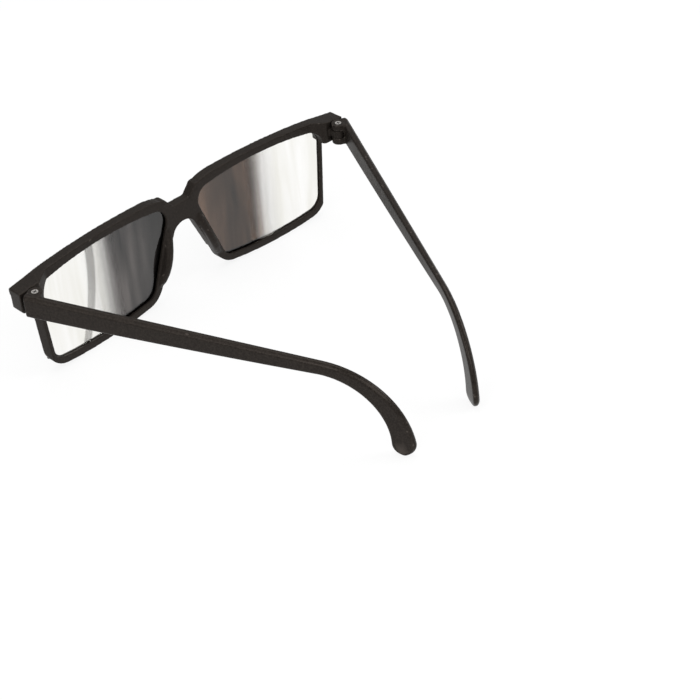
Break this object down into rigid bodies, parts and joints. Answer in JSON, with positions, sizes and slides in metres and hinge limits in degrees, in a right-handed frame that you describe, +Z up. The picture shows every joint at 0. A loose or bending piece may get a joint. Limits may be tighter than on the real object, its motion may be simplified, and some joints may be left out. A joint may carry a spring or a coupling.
{
  "type": "rear-view spectacles",
  "caption": "Moulded spectacles with tinted lenses, mirror-coated at their outer parts so the wearer sees behind, and folding hooked temples.",
  "frame": {"origin": "middle of the footprint, on the surface that the rims and the ear hooks stand on", "axes": "+X to the wearer's right, along the width of the front; +Y forward, the way the wearer looks; +Z up"},
  "size_m": [0.141, 0.121, 0.0398],
  "materials": {
    "frame_plastic": "satin black injection moulding with a fine texture",
    "lens_tint": "smoke-tinted polycarbonate, glossy",
    "mirror_film": "vacuum-deposited mirror coating",
    "screw_steel": "nickel-plated steel"
  },
  "bodies": {
    "front": {"front_frame": "frame_plastic", "left_lens": "lens_tint", "right_lens": "lens_tint", "left_mirror_film": "mirror_film", "right_mirror_film": "mirror_film"},
    "left_temple_body": {"left_temple": "frame_plastic", "left_hinge_screw": "screw_steel"},
    "right_temple_body": {"right_temple": "frame_plastic", "right_hinge_screw": "screw_steel"}
  },
  "joints": [
    {"name": "left_temple_fold", "type": "hinge", "parent": "front", "child": "left_temple_body", "pos_m": [-0.0658, 0.04889, 0.03395], "axis": [0, 0.0149, 0.9999], "range_deg": [-27, 61]},
    {"name": "right_temple_fold", "type": "hinge", "parent": "front", "child": "right_temple_body", "pos_m": [0.0658, 0.04889, 0.03395], "axis": [0, -0.0149, -0.9999], "range_deg": [-27, 65]}
  ]
}
